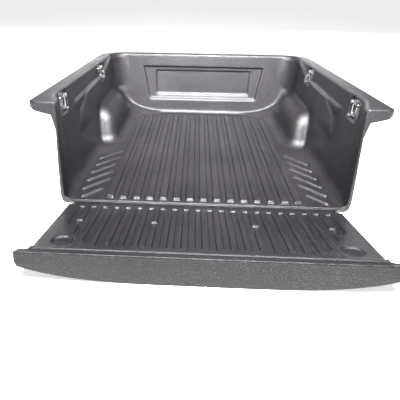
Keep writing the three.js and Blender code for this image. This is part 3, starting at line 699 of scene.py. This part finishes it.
class Nodes:
    """Short ways to add and link shader nodes in one material."""

    def __init__(self, name):
        self.material = bpy.data.materials.new(name)
        self.material.use_nodes = True
        self.tree = self.material.node_tree
        self.shader = self.tree.nodes["Principled BSDF"]
        self.coords = self.add("ShaderNodeTexCoord").outputs["Object"]

    def add(self, kind, inputs=(), **values):
        node = self.tree.nodes.new(kind)
        for key, value in values.items():
            setattr(node, key, value)
        for key, value in dict(inputs).items():
            if isinstance(value, bpy.types.NodeSocket):
                self.tree.links.new(value, node.inputs[key])
            else:
                node.inputs[key].default_value = value
        return node

    def stretched(self, scale):
        return self.add("ShaderNodeMapping", {"Vector": self.coords, "Scale": scale}).outputs["Vector"]

    def noise(self, scale, detail=4.0, roughness=0.55, vector=None):
        inputs = {
            "Vector": vector or self.coords,
            "Scale": scale,
            "Detail": detail,
            "Roughness": roughness,
        }
        return self.add("ShaderNodeTexNoise", inputs).outputs["Fac"]

    def spread(self, value, low, high, to_low=0.0, to_high=1.0):
        inputs = {"Value": value, "From Min": low, "From Max": high, "To Min": to_low, "To Max": to_high}
        return self.add("ShaderNodeMapRange", inputs).outputs["Result"]

    def maths(self, operation, a, b):
        return self.add("ShaderNodeMath", {0: a, 1: b}, operation=operation).outputs[0]

    def colours(self, factor, *stops):
        ramp_node = self.add("ShaderNodeValToRGB", {"Fac": factor})
        band = ramp_node.color_ramp
        for at, colour in stops[1:-1]:
            band.elements.new(at).color = (*colour, 1)
        band.elements[0].position, band.elements[0].color = stops[0][0], (*stops[0][1], 1)
        band.elements[-1].position, band.elements[-1].color = stops[-1][0], (*stops[-1][1], 1)
        return ramp_node.outputs["Color"]

    def bump(self, height, distance, strength, below=None):
        inputs = {"Height": height, "Distance": distance, "Strength": strength}
        if below is not None:
            inputs["Normal"] = below
        return self.add("ShaderNodeBump", inputs).outputs["Normal"]

    def finish(self, **inputs):
        for key, value in inputs.items():
            socket = self.shader.inputs[key.replace("_", " ")]
            if isinstance(value, bpy.types.NodeSocket):
                self.tree.links.new(value, socket)
            else:
                socket.default_value = value
        return self.material


def liner_material(name, grain, pebble):
    """Moulded black polyethylene: pebble grain, a satin skin, scuffs, and pale specks painted into the
    colour as glints of light on the grain.
    """
    n = Nodes(name)
    cells = n.add("ShaderNodeTexVoronoi", {"Vector": n.coords, "Scale": 1 / grain, "Randomness": 1.0})
    pebbles = n.spread(cells.outputs["Distance"], 0.05, 0.75)
    fine = n.noise(900.0, 3.0)
    coarse = n.noise(170.0, 3.0, 0.6)
    broad = n.noise(2.6, 4.0)
    scuffs = n.noise(46.0, 5.0, 0.7, n.stretched((1.0, 0.10, 1.0)))
    scuff = n.spread(scuffs, 0.60, 0.74)
    # Painted highlight: pale specks added to the base colour stand in for glints of light on the pebble
    # grain.
    painted_glints = n.spread(n.noise(170.0, 2.0, 0.8), 0.46, 0.66, 0.0, 0.55)
    tone = n.maths("ADD", n.spread(broad, 0.3, 0.7, 0.0, 0.25), n.spread(coarse, 0.3, 0.7, 0.0, 0.20))
    tone = n.maths("ADD", tone, n.maths("MULTIPLY", scuff, 0.15))
    tone = n.maths("ADD", tone, painted_glints)
    dark, mid, pale = (0.004, 0.004, 0.005), (0.009, 0.008, 0.010), (0.050, 0.047, 0.050)
    colour = n.colours(tone, (0.0, dark), (0.5, mid), (1.0, pale))
    rough = n.maths("ADD", n.spread(coarse, 0.3, 0.7, 0.30, 0.42), n.maths("MULTIPLY", scuff, 0.08))
    normal = n.bump(pebbles, pebble, 0.9)
    normal = n.bump(coarse, 0.0022, 0.7, normal)
    normal = n.bump(fine, 0.0002, 0.5, normal)
    return n.finish(Base_Color=colour, Roughness=rough, Normal=normal, Specular_IOR_Level=0.45)


def chrome_material():
    n = Nodes("chrome_plate")
    cloud = n.noise(60.0, 4.0)
    pits = n.noise(420.0, 3.0)
    colour = n.colours(cloud, (0.3, (0.46, 0.46, 0.47)), (0.7, (0.60, 0.60, 0.61)))
    rough = n.spread(cloud, 0.3, 0.7, 0.20, 0.32)
    return n.finish(Base_Color=colour, Metallic=1.0, Roughness=rough, Normal=n.bump(pits, 0.0002, 0.3))


def zinc_material():
    n = Nodes("zinc_plate")
    cloud = n.noise(120.0, 5.0)
    pits = n.noise(700.0, 3.0)
    colour = n.colours(cloud, (0.3, (0.42, 0.43, 0.45)), (0.7, (0.62, 0.62, 0.60)))
    rough = n.spread(cloud, 0.3, 0.7, 0.28, 0.42)
    return n.finish(Base_Color=colour, Metallic=1.0, Roughness=rough, Normal=n.bump(pits, 0.0003, 0.4))


def coated_steel_material():
    n = Nodes("coated_steel")
    cloud = n.noise(150.0, 4.0)
    grain = n.noise(1100.0, 3.0)
    colour = n.colours(cloud, (0.3, (0.030, 0.030, 0.032)), (0.75, (0.085, 0.085, 0.088)))
    rough = n.spread(cloud, 0.3, 0.7, 0.30, 0.45)
    return n.finish(Base_Color=colour, Metallic=0.6, Roughness=rough, Normal=n.bump(grain, 0.0002, 0.4))


def floor_material():
    n = Nodes("studio_floor")
    tint = n.noise(0.8, 2.0)
    colour = n.colours(tint, (0.3, (0.86, 0.86, 0.86)), (0.7, (0.89, 0.89, 0.89)))
    glow = {"Emission_Color": (1, 1, 1, 1), "Emission_Strength": 0.66}
    return n.finish(Base_Color=colour, Roughness=0.9, Normal=n.bump(n.noise(300.0), 0.0001, 0.1), **glow)


# ---- studio ------------------------------------------------------------------------------------


def make_floor():
    bm = bmesh.new()
    bmesh.ops.create_grid(bm, x_segments=8, y_segments=8, size=60.0)
    floor = new_object("studio_floor", bm)
    floor.data.materials.append(floor_material())


def add_light(name, at, target, size, power, spread=math.pi):
    light = bpy.data.lights.new(name, "AREA")
    light.shape = "RECTANGLE"
    light.size, light.size_y = size
    light.energy = power
    light.spread = spread
    obj = bpy.data.objects.new(name, light)
    bpy.context.scene.collection.objects.link(obj)
    obj.location = at
    obj.rotation_euler = (Vector(target) - Vector(at)).to_track_quat("-Z", "Y").to_euler()


def make_lights():
    world = bpy.data.worlds.new("studio")
    bpy.context.scene.world = world
    world.use_nodes = True
    background = world.node_tree.nodes["Background"]
    background.inputs["Color"].default_value = (1.0, 0.995, 0.99, 1)
    background.inputs["Strength"].default_value = 0.20
    bpy.context.scene.view_settings.view_transform = "Standard"
    add_light("overhead", (0, -1.5, 2.7), (0, 0.25, 0), (2.8, 0.3), 470)
    add_light("back", (0, 8.0, 1.75), (0, 0.3, 0.5), (8.0, 0.9), 150)
    add_light("front", (0, -5.6, 1.9), (0, 0.3, 0.2), (3.0, 1.4), 10)
    add_light("deep", (0, -2.2, 2.3), (0, 1.3, 0.2), (0.9, 0.4), 135, math.radians(60))


def make_camera():
    """The photograph's view: from behind and above the tailgate, a little to the right of centre."""
    yaw, pitch, roll = math.radians(2.38), math.radians(29.19), math.radians(0.77)
    ahead = Vector((-math.sin(yaw), math.cos(yaw), 0))
    across = Vector((math.cos(yaw), math.sin(yaw), 0))
    up = Vector((0, 0, 1))
    forward = math.cos(pitch) * ahead - math.sin(pitch) * up
    upright = math.cos(pitch) * up + math.sin(pitch) * ahead
    right = math.cos(roll) * across + math.sin(roll) * upright
    above = math.cos(roll) * upright - math.sin(roll) * across
    camera = bpy.data.cameras.new("camera")
    camera.sensor_width = 36
    camera.lens = 34.5015
    camera.shift_x, camera.shift_y = 0.058, -0.0077
    obj = bpy.data.objects.new("camera", camera)
    bpy.context.scene.collection.objects.link(obj)
    turn = Matrix((right, above, -forward)).transposed().to_4x4()
    obj.matrix_world = Matrix.Translation((-0.0678, REAR - 1.7055, 1.0085)) @ turn
    bpy.context.scene.camera = obj


# ---- the whole scene ---------------------------------------------------------------------------


def dress(obj, material):
    obj.data.materials.clear()
    obj.data.materials.append(material)


def fit(obj, material, body, slot, *nodes):
    """A finished piece: its material, its body and the CAD nodes that it stands for. slot, its finish,
    is not used.
    """
    dress(obj, material)
    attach(obj, body)
    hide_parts(*nodes)


def make_tie_downs(chrome, zinc):
    for side, sign in (("left", -1), ("right", 1)):
        for place in ("rear", "front"):
            name = f"{side}_{place}_"
            plate, ring, pin = name + "tie_down_plate", name + "tie_down_ring", name + "ring_pin"
            fit(make_plate(plate, sign), chrome, "tub", "chrome_steel", plate)
            fit(make_pin(pin), chrome, "tub", "chrome_steel", pin)
            fit(make_ring(ring), chrome, name + "ring", "chrome_steel", ring)
            for k in (1, 2):
                bolt = f"{name}plate_bolt_{k}"
                fit(make_bolt(bolt, sign), zinc, "tub", "zinc_steel", bolt)


make_camera()
make_lights()
make_floor()
fit(make_tub(), liner_material("tub_plastic", 4.5 * MM, 0.9 * MM), "tub", "liner_plastic", "tub_liner")
gate_plastic = liner_material("tailgate_plastic", 4.0 * MM, 0.8 * MM)
fit(make_gate(), gate_plastic, "tailgate", "liner_plastic", "tailgate_liner")
make_tie_downs(chrome_material(), zinc_material())
coated = coated_steel_material()
for name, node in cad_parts.items():
    if "gate_" in name:
        dress(node, coated)
